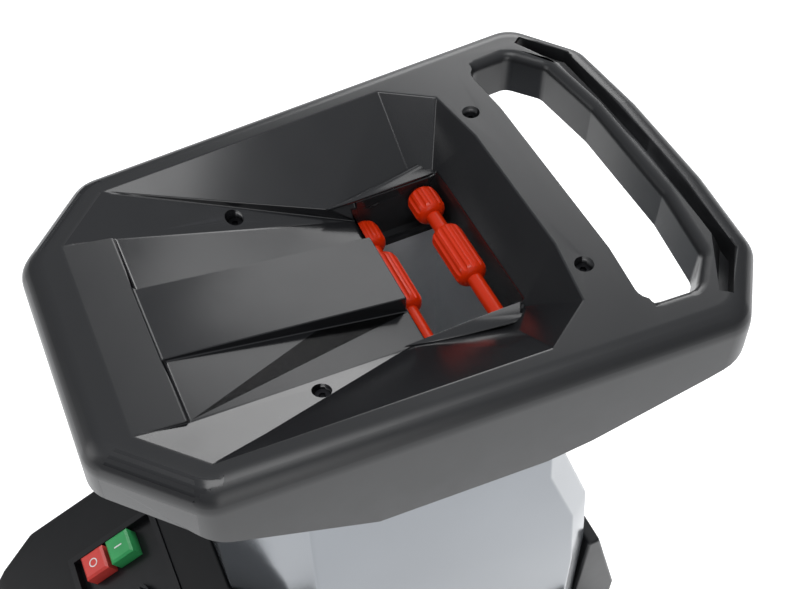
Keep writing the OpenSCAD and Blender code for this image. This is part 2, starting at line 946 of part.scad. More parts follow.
module adjuster_knob() {
    r = adjuster_knob_diameter / 2;
    lobes = 6;
    placed("#c8381a")
        translate([knob_x, adjuster_y, roller_at[1]])
            rotate([0, -90, 0])
                difference() {
                    union() {
                        difference() {
                            cylinder(r = r, h = 20);
                            for (i = [0 : lobes - 1])
                                rotate(i * 360 / lobes)
                                    translate([r + 4, 0, -1])
                                        cylinder(r = 8, h = 22);
                        }
                        translate([0, 0, -14])
                            cylinder(r = adjuster_collar / 2, h = 16);
                    }
                    translate([0, 0, -15])
                        cylinder(r = 5, h = 27);
                }
}

// ---- Gear train: motor pinion, two layshafts and the roller's gear ----
gear_cover_back = chamber_front - plate_thickness - 102;
gear_cover_front = gear_cover_back - 12;
case_wall = 12;
// Front and rear of each of the six gears, in the order of gear_teeth
gear_planes = [[-91, -77], [-90, -78], [-71, -53], [-70, -54], [-50, -24], [-48, -26]];

function centre_distance(stage) =
    gear_modules[stage] * (gear_teeth[2 * stage] + gear_teeth[2 * stage + 1]) / 2;
second_angle = -60;
second_at = roller_at + centre_distance(2) * [cos(second_angle), sin(second_angle)];
// The first layshaft lies where the circles of the first two stages cross
span = second_at - motor_at;
along = (centre_distance(0) ^ 2 - centre_distance(1) ^ 2 + norm(span) ^ 2) / (2 * norm(span));
beside = sqrt(centre_distance(0) ^ 2 - along ^ 2);
first_at = motor_at + along * span / norm(span) + beside * [span[1], -span[0]] / norm(span);

// Direction from one shaft to the next, in the plane of X and Z
function direction(a, b) = atan2(b[1] - a[1], b[0] - a[0]);

function gear_outline(teeth, m) =
    let (r = teeth * m / 2, pitch = 360 / teeth)
    [for (i = [0 : teeth - 1])
        for (k = [[-1.15, -0.30], [0, -0.215], [0.8, -0.09], [0.8, 0.09], [0, 0.215], [-1.15, 0.30]])
            (r + k[0] * m) * [cos((i + k[1]) * pitch), sin((i + k[1]) * pitch)]];

// A gear with a tooth, or a gap, on the line at an angle in the plane of X and Z
module gear(index, at, angle, gap, bore) {
    teeth = gear_teeth[index];
    m = gear_modules[floor(index / 2)];
    plane = gear_planes[index];
    translate([at[0], plane[1], at[1]])
        rotate([90, 0, 0])
            linear_extrude(plane[1] - plane[0])
                rotate(angle + (gap ? 180 / teeth : 0))
                    difference() {
                        polygon(gear_outline(teeth, m));
                        if (bore > 0)
                            circle(bore);
                    }
}

module gearbox_hollow(grow, y0, y1) {
    hull()
        for (place = [[roller_at, 69], [second_at, 47], [first_at, 36], [motor_at, 22]])
            rod_y(place[1] + grow, y0, y1, place[0], $fn = 48);
}

module gearbox_case() {
    rear = chamber_front - plate_thickness;
    placed("#a3a8ac")
        difference() {
            gearbox_hollow(5, gear_cover_back, rear);
            gearbox_hollow(0, gear_cover_back - 1, rear - case_wall);
            rod_y(15, -far, far, roller_at);
            for (at = [first_at, second_at])
                rod_y(16, rear - case_wall - 1, rear - 2, at);
        }
}

module gearbox_cover() {
    placed("#979ca0")
        difference() {
            gearbox_hollow(5, gear_cover_front, gear_cover_back);
            for (at = [first_at, second_at])
                rod_y(16, gear_cover_front + 2, far, at);
            rod_y(motor_shaft_diameter / 2 + 1, -far, far, motor_at);
        }
}

cover_screw_places = [
    roller_at + 64 * [cos(150), sin(150)], roller_at + 64 * [cos(60), sin(60)],
    roller_at + 64 * [cos(210), sin(210)], second_at + 40 * [cos(10), sin(10)]
];

module shaft_seal() {
    rear = chamber_front - plate_thickness;
    placed("#26221f")
        ring_y(15, roller_shaft_diameter / 2 + slip, rear - case_wall + 1, rear - 1, roller_at);
}

module roller_gear() {
    placed("#8a8478")
        gear(5, roller_at, direction(roller_at, second_at), true, roller_shaft_diameter / 2);
}

layshaft_radius = 6;
layshaft_ends = [gear_cover_front + 3, chamber_front - plate_thickness - 3];

module first_layshaft() {
    placed("#9a9da0") {
        rod_y(layshaft_radius, layshaft_ends[0], layshaft_ends[1], first_at);
        gear(2, first_at, direction(first_at, second_at), false, 0);
    }
}

module first_gear() {
    placed("#8f897c")
        gear(1, first_at, direction(first_at, motor_at), true, layshaft_radius);
}

module second_layshaft() {
    placed("#9a9da0") {
        rod_y(layshaft_radius, layshaft_ends[0], layshaft_ends[1], second_at);
        gear(4, second_at, direction(second_at, roller_at), false, 0);
    }
}

module second_gear() {
    placed("#8f897c")
        gear(3, second_at, direction(second_at, first_at), true, layshaft_radius);
}

module layshaft_bearings() {
    rear = chamber_front - plate_thickness;
    placed("#b9bdc0")
        for (at = [first_at, second_at])
            for (y = [gear_cover_front + 2, rear - case_wall])
                ring_y(16, layshaft_radius + slip, y, y + 10, at);
}

// ---- Motor ----
motor_rear = gear_cover_front;
bell_length = 15;
frame_length = 160;
frame_rear = motor_rear - bell_length;
frame_front = frame_rear - frame_length;
stack_length = 104;
stack_rear = frame_rear - 28;
stack_front = stack_rear - stack_length;
stator_bore = 41;
frame_bore = motor_diameter / 2 - 5;
motor_bearing_radius = 17.5;
fan_rear = frame_front - bell_length - 4;

module motor_frame() {
    fins = 24;
    placed("#7d8286")
        translate([motor_at[0], frame_rear, motor_at[1]])
            rotate([90, 0, 0])
                linear_extrude(frame_length)
                    difference() {
                        circle(motor_diameter / 2);
                        circle(frame_bore);
                        for (i = [0 : fins - 1])
                            rotate((i + 0.5) * 360 / fins)
                                translate([motor_diameter / 2 - 3, -3.5])
                                    square([6, 7]);
                    }
}

module stator_core() {
    placed("#6a6c70")
        ring_y(frame_bore, stator_bore, stack_front, stack_rear, motor_at);
}

module stator_windings() {
    placed("#b4622d")
        for (y = [stack_front - 16, stack_rear])
            ring_y(frame_bore - 5, stator_bore + 4, y, y + 16, motor_at);
}

module motor_end_bells() {
    placed("#8b9094")
        for (side = [0, 1])
            let (y = side == 0 ? frame_rear : frame_front - bell_length)
            difference() {
                rod_y(motor_diameter / 2, y, y + bell_length, motor_at);
                rod_y(motor_shaft_diameter / 2 + 1, y - 1, y + bell_length + 1, motor_at);
                rod_y(motor_bearing_radius, side == 0 ? y - 1 : y + 3,
                    side == 0 ? y + bell_length - 3 : y + bell_length + 1, motor_at);
            }
}

module motor_bearings() {
    placed("#b9bdc0")
        for (y = [frame_rear + 0.5, frame_front - 11.5])
            ring_y(motor_bearing_radius, motor_shaft_diameter / 2 + slip, y, y + 11, motor_at);
}

module rotor() {
    placed("#84878b")
        ring_y(stator_bore - 0.5, motor_shaft_diameter / 2 + 0.02, stack_front, stack_rear, motor_at);
}

module motor_shaft() {
    placed("#a5a9ad") {
        rod_y(motor_shaft_diameter / 2, fan_rear - 18, gear_planes[0][0], motor_at);
        gear(0, motor_at, direction(motor_at, first_at), false, 0);
    }
}

module cooling_fan() {
    blades = 8;
    placed("#202124")
        translate([motor_at[0], fan_rear, motor_at[1]])
            rotate([90, 0, 0])
                difference() {
                    union() {
                        cylinder(r = 14, h = 16);
                        cylinder(r = 56, h = 2);
                        for (i = [0 : blades - 1])
                            rotate(i * 360 / blades)
                                translate([12, -1.25, 0])
                                    cube([44, 2.5, 14]);
                    }
                    translate([0, 0, -1])
                        cylinder(r = motor_shaft_diameter / 2, h = 20);
                }
}

// ---- Base, axle and wheels ----
base_front = -262;
base_rear = 180;
base_wall = 6;
deck_skirt = 24;
base_foot = 20;
side_inner = base_half_width - base_wall;
rail_top = deck_height - 56;

module base() {
    placed("#1d1e20") {
        difference() {
            translate([0, 0, deck_height - deck_skirt])
                linear_extrude(deck_skirt)
                    polygon(box_outline(-base_half_width, base_half_width, base_front, base_rear));
            block([-side_inner, base_front + 5, 0], [side_inner, base_rear - base_wall, deck_height - 6]);
            block([-throat_half_width, chamber_front, 0], [throat_half_width, chamber_rear, rim_height]);
        }
        duct(throat_half_width, chamber_front, chamber_rear, 3, deck_height - 30, deck_height - 6);
        both_sides() {
            across([[base_front, base_foot], [base_front + 60, base_foot], [base_front + 90, base_foot + 40],
                [100, base_foot + 40], [120, base_foot + 60], [base_rear, base_foot + 60],
                [base_rear, deck_height - deck_skirt], [base_front, deck_height - deck_skirt]],
                side_inner, base_half_width);
            block([side_inner - 8, base_front + 8, rail_top - 6], [side_inner, base_rear - base_wall, rail_top]);
        }
        block([-side_inner, base_front, base_foot], [side_inner, base_front + 26, base_foot + 16]);
        block([-side_inner, base_rear - base_wall, base_foot + 60],
            [side_inner, base_rear, deck_height - deck_skirt]);
    }
}

module rubber_feet() {
    placed("#17171a")
        both_sides()
            translate([base_half_width - 24, base_front + 20, 0])
                cylinder(r1 = 15, r2 = 18, h = base_foot);
}

carrier_half_width = 118;

// Sloping housing behind the base that carries the axle
module rear_carrier() {
    slope_top = [base_rear + 13, deck_height + 132];
    slope_foot = [base_rear + 54, deck_height - 10];
    outline = [[base_rear, 56], [axle_y + 22, 56], [slope_foot[0] + 6, 110], slope_foot, slope_top,
        [base_rear, slope_top[1]]];
    inner = grown(outline, -4);
    placed("#222326")
        difference() {
            union() {
                difference() {
                    across(outline, -carrier_half_width, carrier_half_width);
                    across(inner, 4 - carrier_half_width, carrier_half_width - 4);
                }
                both_sides()
                    rod_x(15, carrier_half_width - 24, carrier_half_width - 2, axle_y, axle_z);
            }
            rod_x(axle_diameter / 2, -far, far, axle_y, axle_z);
        }
}

axle_reach = base_half_width + 8 + tyre_width + 4;

module axle() {
    placed("#b2b6b9")
        rod_x(axle_diameter / 2, -axle_reach, axle_reach, axle_y, axle_z);
}

module axle_caps() {
    placed("#3a3b3e")
        both_sides()
            difference() {
                rod_x(11, base_half_width + 8 + tyre_width + 0.5, axle_reach + 2, axle_y, axle_z);
                rod_x(axle_diameter / 2, 0, axle_reach, axle_y, axle_z);
            }
}

rim_radius = wheel_diameter / 2 - 19;

module wheel_hub(side) {
    spokes = 5;
    start = base_half_width + 8;
    placed("#2d2e31")
        mirror([side < 0 ? 1 : 0, 0, 0])
            translate([start, axle_y, axle_z])
                rotate([0, 90, 0])
                    difference() {
                        union() {
                            difference() {
                                cylinder(r = rim_radius, h = tyre_width);
                                translate([0, 0, -1])
                                    cylinder(r = rim_radius - 7, h = tyre_width + 2);
                            }
                            cylinder(r = 17, h = tyre_width);
                            translate([0, 0, tyre_width / 2 - 4])
                                difference() {
                                    cylinder(r = rim_radius - 3, h = 8);
                                    for (i = [0 : spokes - 1])
                                        rotate(i * 360 / spokes)
                                            translate([0.58 * rim_radius, 0, -1])
                                                cylinder(r = 0.2 * rim_radius, h = 10);
                                }
                        }
                        translate([0, 0, -1])
                            cylinder(r = axle_diameter / 2 + slip, h = tyre_width + 2);
                    }
}

module tyre(side) {
    tread = wheel_diameter / 2;
    shoulder = 8;
    placed("#161618")
        mirror([side < 0 ? 1 : 0, 0, 0])
            translate([base_half_width + 8, axle_y, axle_z])
                rotate([0, 90, 0])
                    rotate_extrude($fn = 96)
                        polygon(concat(
                            [[rim_radius, 0]],
                            [for (a = [0 : 30 : 90])
                                [tread - shoulder + shoulder * sin(a), shoulder * (1 - cos(a))]],
                            [for (a = [90 : -30 : 0])
                                [tread - shoulder + shoulder * sin(a), tyre_width - shoulder * (1 - cos(a))]],
                            [[rim_radius, tyre_width]]
                        ));
}

module left_wheel() {
    wheel_hub(-1);
}

module left_tyre() {
    tyre(-1);
}

module right_wheel() {
    wheel_hub(1);
}

module right_tyre() {
    tyre(1);
}

// ---- Collecting box that slides out to the front ----
box_floor = base_foot + 22;
box_half_width = side_inner - 8 - play - 2;
box_lip = side_inner - play;
box_wall = 3;
fascia_front = base_front - 4;
fascia_top = deck_height - deck_skirt - 4;
latch_travel = 18;

function box_ring(z, d, inset) = at_height(
    rounded(box_outline(-box_half_width + inset - d, box_half_width - inset + d,
        base_front + 4 + inset - d, base_rear - base_wall - 8 - inset + d), 14 + d, 4), z);

module collecting_box() {
    placed("#27282b")
        difference() {
            union() {
                loft([box_ring(box_floor, 0, 8), box_ring(rail_top + 6, 0, 0)]);
                block([-box_lip, base_front + 10, rail_top + play], [box_lip, base_rear - base_wall - 8, rail_top + 6]);
                block([-box_lip, fascia_front, box_floor - 2], [box_lip, base_front + 4.5, fascia_top]);
            }
            loft([box_ring(box_floor + box_wall, -box_wall, 8), box_ring(rail_top + 7, -box_wall, 0)]);
            block([-60, fascia_front - 1, fascia_top - 92], [60, fascia_front + 5, fascia_top - 50]);
            block([-8, fascia_front - 1, fascia_top - 32], [8, base_front + 8, fascia_top + 1]);
        }
}

// Slide on the box's front that locks it behind the deck's edge
module box_latch() {
    low = fascia_top - 31;
    placed("#c8381a") {
        block([-18, fascia_front - 8, low - 8], [18, fascia_front - 0.3, low + 16]);
        block([-7, fascia_front - 1, low], [7, base_front + 12, low + 10]);
        block([-7, base_front + 6, low], [7, base_front + 12, fascia_top]);
    }
}

// Screws beside the column's back seam
module case_screws() {
    placed("#2a2a2c") {
        for (z = [deck_height + 145, rim_height - 150])
            for (x = [-30, 30])
                translate([x, column_rear_at(z) + 0.5, z])
                    rotate([-90, 0, 0])
                        cylinder(r = 4.5, h = 2.5);
    }
}

function column_rear_at(z) = lookup(z, [for (level = column_levels) [level[0], level[3]]]);

hopper();
hopper_screws();
front_guide_roller();
rear_guide_roller();
guide_bushes();
feed_chute();
chute_gasket();
column_left();
column_right();
case_screws();
rear_carrier();
motor_hood();
hood_tray();
switch_box();
stop_button();
start_button();
direction_knob();
reset_button();
switch_block();
mains_inlet();
inlet_pins();
capacitor();
front_plate();
rear_plate();
chamber_sides();
unit_bolts();
crushing_roller();
roller_shaft();
roller_bearings();
counter_plate();
adjuster_bush();
adjuster_screw();
adjuster_knob();
gearbox_case();
gearbox_cover();
shaft_seal();
roller_gear();
first_layshaft();
first_gear();
second_layshaft();
second_gear();
layshaft_bearings();
motor_frame();
stator_core();
stator_windings();
motor_end_bells();
motor_bearings();
rotor();
motor_shaft();
cooling_fan();
base();
rubber_feet();
axle();
axle_caps();
left_wheel();
left_tyre();
right_wheel();
right_tyre();
collecting_box();
box_latch();
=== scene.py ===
# %% [markdown]
# # A garden shredder, finished around its frame
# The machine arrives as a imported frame: sixty named parts, already in place, in metres, with
# the floor at z = 0 and the front towards -Y. This lesson never moves them. It gives each one a
# finish, and where the real moulding is softer or richer than the frame's plain part, it makes a
# fuller piece that stands in for it and rides on the same moving body.

# %% Load the frame
import json
import math

import bmesh
import bpy
from mathutils import Matrix, Vector


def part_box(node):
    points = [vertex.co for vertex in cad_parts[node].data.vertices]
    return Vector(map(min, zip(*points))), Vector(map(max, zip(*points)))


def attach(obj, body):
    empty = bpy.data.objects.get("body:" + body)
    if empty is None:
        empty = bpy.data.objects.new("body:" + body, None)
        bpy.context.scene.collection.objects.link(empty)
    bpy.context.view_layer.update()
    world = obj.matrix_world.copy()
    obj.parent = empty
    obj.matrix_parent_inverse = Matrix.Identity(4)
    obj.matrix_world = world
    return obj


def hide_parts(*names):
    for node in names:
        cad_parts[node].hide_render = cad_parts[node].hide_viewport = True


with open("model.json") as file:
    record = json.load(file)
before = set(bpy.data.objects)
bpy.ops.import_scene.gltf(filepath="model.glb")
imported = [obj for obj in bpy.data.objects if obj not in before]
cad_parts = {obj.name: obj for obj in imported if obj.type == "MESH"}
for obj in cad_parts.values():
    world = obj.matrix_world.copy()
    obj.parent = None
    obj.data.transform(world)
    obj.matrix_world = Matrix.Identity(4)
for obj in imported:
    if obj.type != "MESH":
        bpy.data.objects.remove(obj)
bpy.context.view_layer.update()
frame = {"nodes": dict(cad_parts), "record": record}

MM = 0.001
record = frame["record"]
body_of = {node: body for body, nodes in record["behaviour"]["bodies"].items() for node in nodes}
slot_of = {row["node"]: row["material_slot"] for row in record["subparts"]}
RIM_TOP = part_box("hopper")[1].z
HOPPER_Y = 37 * MM

# %% [markdown]
# ## Camera
# The machine is seen from its front right corner and well above, so that one looks down into the
# funnel. A camera is placed by naming what it looks at, the direction back from there and the
# distance. Turning that direction into a rotation with `to_track_quat` keeps the horizon level.

# %% Place the camera
AZIMUTH, ELEVATION, DISTANCE = math.radians(64.795), math.radians(51.972), 0.737
SENSOR_WIDTH, FOCAL_LENGTH = 36.0, 48.915
NEAREST, FARTHEST = 0.02, 60
look_at = Vector((55 * MM, HOPPER_Y, RIM_TOP))
back = Vector((math.sin(AZIMUTH) * math.cos(ELEVATION), -math.cos(AZIMUTH) * math.cos(ELEVATION),
               math.sin(ELEVATION)))
camera = bpy.data.objects.new("camera", bpy.data.cameras.new("camera"))
bpy.context.scene.collection.objects.link(camera)
camera.location = look_at + back * DISTANCE
camera.rotation_euler = (-back).to_track_quat("-Z", "Y").to_euler()
camera.data.sensor_width, camera.data.lens = SENSOR_WIDTH, FOCAL_LENGTH
camera.data.clip_start, camera.data.clip_end = NEAREST, FARTHEST
bpy.context.scene.camera = camera
print("camera at", [round(v, 3) for v in camera.location])

# %% [markdown]
# ## Floor and light
# A studio sweep is only a large pale floor. Black plastic is drawn by what it reflects, so the
# light is a sky that is dark near the horizon and bright overhead, with a few large soft panels:
# one overhead, two on the far side that run a pale streak down the funnel, and one to each side.

# %% Floor and sky
FLOOR_REACH = 14
# The sky's strength rises from the horizon's value to the zenith's between these two heights
SKY_LOW, SKY_HIGH = 0.12, 0.95
HORIZON_STRENGTH, ZENITH_STRENGTH = 0.14, 0.70
scene = bpy.context.scene
scene.view_settings.view_transform = "Standard"
floor_shape = bmesh.new()
bmesh.ops.create_grid(floor_shape, x_segments=1, y_segments=1, size=FLOOR_REACH)
floor = bpy.data.objects.new("floor", bpy.data.meshes.new("floor"))
floor_shape.to_mesh(floor.data)
floor_shape.free()
scene.collection.objects.link(floor)
paper = bpy.data.materials.new("pale_paper")
paper.use_nodes = True
paper_shader = paper.node_tree.nodes["Principled BSDF"]
paper_shader.inputs["Base Color"].default_value = (0.85, 0.85, 0.85, 1)
paper_shader.inputs["Roughness"].default_value = 0.9
paper_shader.inputs["Emission Color"].default_value = (1, 1, 1, 1)
paper_shader.inputs["Emission Strength"].default_value = 0.75
floor.data.materials.append(paper)

sky = bpy.data.worlds.new("even_sky")
sky.use_nodes = True
seen = sky.node_tree.nodes["Background"]
seen.inputs["Color"].default_value = (1, 1, 1, 1)
lighting = sky.node_tree.nodes.new("ShaderNodeBackground")
lighting.inputs["Color"].default_value = (0.93, 0.96, 1.0, 1)
heading = sky.node_tree.nodes.new("ShaderNodeTexCoord")
upward = sky.node_tree.nodes.new("ShaderNodeSeparateXYZ")
climb = sky.node_tree.nodes.new("ShaderNodeMapRange")
for name, value in {"From Min": SKY_LOW, "From Max": SKY_HIGH,
                    "To Min": HORIZON_STRENGTH, "To Max": ZENITH_STRENGTH}.items():
    climb.inputs[name].default_value = value
sky.node_tree.links.new(heading.outputs["Generated"], upward.inputs[0])
sky.node_tree.links.new(upward.outputs["Z"], climb.inputs["Value"])
sky.node_tree.links.new(climb.outputs["Result"], lighting.inputs["Strength"])
choice = sky.node_tree.nodes.new("ShaderNodeMixShader")
rays = sky.node_tree.nodes.new("ShaderNodeLightPath")
sky.node_tree.links.new(rays.outputs["Is Camera Ray"], choice.inputs[0])
sky.node_tree.links.new(lighting.outputs[0], choice.inputs[1])
sky.node_tree.links.new(seen.outputs[0], choice.inputs[2])
sky.node_tree.links.new(choice.outputs[0], sky.node_tree.nodes["World Output"].inputs["Surface"])
scene.world = sky
print("floor and sky, zenith", ZENITH_STRENGTH)


# %% Soft panels
def soft_panel(name, towards_light, distance, width, height, brightness):
    """A rectangular light in one direction from the funnel, facing it."""
    lamp = bpy.data.lights.new(name, "AREA")
    lamp.shape, lamp.size, lamp.size_y = "RECTANGLE", width, height
    lamp.energy = brightness * math.pi * width * height
    holder = bpy.data.objects.new(name, lamp)
    scene.collection.objects.link(holder)
    direction = Vector(towards_light).normalized()
    holder.location = look_at + direction * distance
    holder.rotation_euler = direction.to_track_quat("Z", "Y").to_euler()
    return holder


# Direction towards the light, distance, width, height and brightness
PANELS = {
    "low_far_panel": ((-0.80, 0.52, 0.36), 2.4, 1.5, 0.9, 5.0),
    "far_middle_panel": ((-0.56, 0.52, 0.66), 2.4, 1.1, 0.5, 2.4),
    "overhead_panel": ((0.20, -0.10, 0.9), 1.9, 1.1, 0.9, 4.2),
    "right_panel": ((0.9, -0.1, 0.25), 2.6, 1.0, 1.6, 2.2),
    "front_panel": ((-0.25, -1.0, 0.30), 2.8, 1.2, 1.6, 2.2),
}
for name, setting in PANELS.items():
    soft_panel(name, *setting)
print(len(PANELS), "soft panels")


# %% [markdown]
# ## A small language for finishes
# A finish is a graph of nodes, and a graph is easier to read as sums. `Wire` holds one output of
# a node and answers to +, - and *, so `1 - mask` adds the Math node by itself. `Finish` owns the
# material: its `node` method makes any node, sets its settings first and its sockets after.

# %% Wire and Finish
class Wire:
    """One output of a shader node that can be used in ordinary sums."""

    def __init__(self, finish, socket):
        self.finish, self.socket = finish, socket

    def __add__(self, other):
        return self.finish.math("ADD", self, other)

    def __sub__(self, other):
        return self.finish.math("SUBTRACT", self, other)

    def __rsub__(self, other):
        return self.finish.math("SUBTRACT", other, self)

    def __mul__(self, other):
        return self.finish.math("MULTIPLY", self, other)

    __radd__, __rmul__ = __add__, __mul__


class Finish:
    """A material with one shader, and the calls that wire its pattern."""

    def __init__(self, name, colour, roughness, **steady):
        self.material = bpy.data.materials.new(name)
        self.material.use_nodes = True
        self.tree = self.material.node_tree
        self.shader = self.tree.nodes["Principled BSDF"]
        self.colour, self.roughness = (*colour, 1), roughness
        steady = {"base_color": self.colour, "roughness": roughness, **steady}
        for words, value in steady.items():
            socket = words.replace("_", " ").title().replace("Ior", "IOR")
            self.shader.inputs[socket].default_value = value
        self.place = self.node("ShaderNodeTexCoord", out="Object")

    def node(self, kind, settings=None, sockets=None, out=0):
        made = self.tree.nodes.new(kind)
        for name, value in (settings or {}).items():
            setattr(made, name, value)
        for name, value in (sockets or {}).items():
            if isinstance(value, Wire):
                self.tree.links.new(value.socket, made.inputs[name])
            else:
                made.inputs[name].default_value = value
        return Wire(self, made.outputs[out])

    def math(self, operation, first, second):
        return self.node("ShaderNodeMath", {"operation": operation}, {0: first, 1: second})

    def ramp(self, value, dark, light):
        """Nought below dark, one above light."""
        return self.node("ShaderNodeMapRange", {"clamp": True},
                         {"Value": value, "From Min": dark, "From Max": light})

    def stretch(self, x, y, z):
        """Object coordinates scaled unevenly, for grain that runs one way."""
        return self.node("ShaderNodeMapping", None,
                         {"Vector": self.place, "Scale": (x, y, z)})

    def noise(self, scale, detail=2.0, place=None):
        return self.node("ShaderNodeTexNoise", None,
                         {"Vector": place or self.place, "Scale": scale, "Detail": detail})

    def blend(self, first, second, mask):
        """One colour over another where the mask is bright."""
        return self.node("ShaderNodeMix", {"data_type": "RGBA"},
                         {0: mask, 6: first, 7: second}, out=2)

    def feed(self, socket, wire):
        self.tree.links.new(wire.socket, self.shader.inputs[socket])

    def bump(self, height, depth):
        """Raises the surface by up to depth metres where height is bright."""
        self.feed("Normal", self.node("ShaderNodeBump", None,
                                      {"Height": height, "Distance": depth, "Strength": 1.0}))


def tinted(colour, factor):
    return tuple(min(1, part * factor) for part in colour[:3]) + (1,)


print("wires and finishes ready")

# %% [markdown]
# ## Moulded plastic
# A moulded part is never one flat colour. The tool leaves a fine spark-eroded grain, the pigment
# clouds slightly, and hands and dust dull it in patches. Each of those is one noise at its own
# scale. Sharp edges are painted lighter as well, partly as wear and partly as a painted
# highlight;
# that mask reads how sharply the surface turns.

# %% Plastics and rubber
def moulded(name, colour, roughness, grain=0.00002, patches=0.08, edge_wear_and_highlight=1.6, **steady):
    finish = Finish(name, colour, roughness, **steady)
    cloud = finish.noise(7, 3)
    smudge = finish.noise(28, 5)
    turning = finish.node("ShaderNodeNewGeometry", out="Pointiness")
    # Sharp edges are painted lighter here: partly wear, partly a painted highlight along the
    # edge.
    edge = finish.ramp(turning, 0.52, 0.60) * finish.ramp(finish.noise(60, 4), 0.35, 0.6)
    clouded = finish.blend(tinted(finish.colour, 0.88), tinted(finish.colour, 1.12), cloud)
    finish.feed("Base Color", finish.blend(clouded, tinted(finish.colour, edge_wear_and_highlight), edge * 0.6))
    finish.feed("Roughness", (smudge - 0.5) * patches + roughness)
    finish.bump(finish.noise(1600, 2), grain)
    return finish


def metal(name, colour, roughness, brushed=(1, 1, 1), scale=40, depth=0.00001, **steady):
    finish = Finish(name, colour, roughness, metallic=1.0, **steady)
    grain = finish.noise(scale, 4, finish.stretch(*brushed))
    tarnish = finish.noise(9, 4)
    finish.feed("Base Color", finish.blend(tinted(finish.colour, 0.75),
                                           tinted(finish.colour, 1.1), tarnish))
    finish.feed("Roughness", (grain - 0.5) * 0.25 + roughness)
    finish.bump(grain, depth)
    return finish


# The sixth number given to moulded sets how much lighter sharp edges are painted, partly wear and
# partly a painted highlight.
finishes = {
    "hopper_plastic": moulded("rim_plastic", (0.0135, 0.0138, 0.015), 0.33),
    "guide_orange": moulded("guide_orange", (0.60, 0.026, 0.0012), 0.30, 0.00001, 0.1, 1.1,
                            specular_ior_level=0.3),
    "bush_black": moulded("bush_plastic", (0.02, 0.02, 0.022), 0.5),
    "rubber_black": moulded("gasket_rubber", (0.018, 0.018, 0.02), 0.75, 0.00005),
    "column_grey": moulded("column_silver", (0.20, 0.215, 0.235), 0.15, 0.000004, 0.12, 1.2,
                           metallic=0.75, coat_weight=0.3, coat_roughness=0.08),
    "base_black": moulded("base_plastic", (0.010, 0.0105, 0.0115), 0.40, 0.00004,
                          specular_ior_level=0.35),
    "hood_black": moulded("hood_plastic", (0.006, 0.0062, 0.007), 0.38, 0.00003,
                          specular_ior_level=0.28),
    "panel_black": moulded("panel_plastic", (0.006, 0.006, 0.007), 0.30, specular_ior_level=0.35),
    "stop_red": moulded("stop_red", (0.60, 0.055, 0.045), 0.25, 0.00001, 0.08, 1.2),
    "start_green": moulded("start_green", (0.035, 0.33, 0.10), 0.3, 0.00001, 0.08, 1.2),
    "reset_red": moulded("reset_red", (0.5, 0.03, 0.02), 0.32),
    "switch_grey": moulded("switch_grey", (0.05, 0.05, 0.055), 0.5),
    "inlet_black": moulded("inlet_plastic", (0.012, 0.012, 0.013), 0.4),
    "accent_red": moulded("knob_red", (0.6, 0.05, 0.012), 0.36),
    "fan_black": moulded("fan_plastic", (0.02, 0.02, 0.02), 0.55),
    "wheel_plastic": moulded("wheel_plastic", (0.028, 0.029, 0.031), 0.4),
    "tyre_rubber": moulded("tyre_rubber", (0.016, 0.016, 0.017), 0.8, 0.00008),
    "box_plastic": moulded("box_plastic", (0.020, 0.021, 0.023), 0.45, 0.00003),
    "black_screws": metal("blackened_steel", (0.03, 0.03, 0.033), 0.35),
    "chute_metal": moulded("chute_sheet", (0.80, 0.82, 0.84), 0.32, 0.00001, 0.2, 1.1,
                           metallic=0.4),
    "brass_pins": metal("pin_brass", (0.6, 0.43, 0.14), 0.25),
    "capacitor_white": metal("drawn_can", (0.6, 0.61, 0.63), 0.3),
    "cast_aluminium": metal("die_cast", (0.36, 0.38, 0.40), 0.5, scale=500, depth=0.0001),
    "zinc_steel": metal("zinc_plate", (0.50, 0.51, 0.52), 0.32),
    "roller_steel": metal("hardened_steel", (0.17, 0.175, 0.18), 0.42, scale=200, depth=0.00005),
    "ground_steel": metal("ground_steel", (0.5, 0.51, 0.52), 0.22, (30, 1, 1)),
    "bearing_steel": metal("bearing_steel", (0.55, 0.56, 0.57), 0.18),
    "counter_aluminium": metal("scored_plate", (0.5, 0.51, 0.52), 0.38, (1, 1, 25)),
    "bush_brass": metal("bush_brass", (0.5, 0.36, 0.13), 0.3),
    "gear_steel": metal("oiled_gear", (0.3, 0.29, 0.27), 0.3, scale=150),
    "lamination_steel": metal("laminations", (0.2, 0.2, 0.21), 0.45, (60, 1, 1), 60, 0.0001),
    "winding_copper": moulded("varnished_copper", (0.45, 0.15, 0.045), 0.3, 0.0001,
                              coat_weight=0.5),
}
# The funnel's sharp edges are painted the lightest of all: partly wear, partly a painted
# highlight on its creases.
glossy = moulded("funnel_gloss", (0.012, 0.0122, 0.0135), 0.17, 0.000004, 0.1, 2.2)
print(len(finishes) + 1, "finishes")

# %% [markdown]
# ## Dressing the frame
# Every frame part takes the finish of its slot, so even the gears and the bearings that only show
# when the machine is opened look like what they are.

# %% Give every part its finish
for name, part in frame["nodes"].items():
    finish = finishes[slot_of[name]].material
    if not part.material_slots:
        part.data.materials.append(finish)
    for slot in part.material_slots:
        slot.material = finish
print(len(frame["nodes"]), "parts dressed")

# %% [markdown]
# ## Breaking the edges
# A frame part has knife-sharp edges, and nothing moulded has. The quick way is a Bevel modifier,
# but it treats every edge alike. Here a copy of the part is merged, its flat faces are joined up
# again, and only edges that turn more than a given angle are bevelled with the bevel operator.

# %% Soften a copy of a part
SMOOTH_UP_TO = math.radians(40)
DOUBLES = 0.02 * MM


def finished(name, mesh, node, material=None):
    """Turns a bmesh into a piece that rides where its node rides and shares its slot."""
    for face in mesh.faces:
        face.smooth = True
    piece = bpy.data.objects.new(name, bpy.data.meshes.new(name))
    mesh.to_mesh(piece.data)
    mesh.free()
    scene.collection.objects.link(piece)
    piece.data.set_sharp_from_angle(angle=SMOOTH_UP_TO)
    piece.data.materials.append((material or finishes[slot_of[node]]).material)
    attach(piece, body_of[node])
    return piece


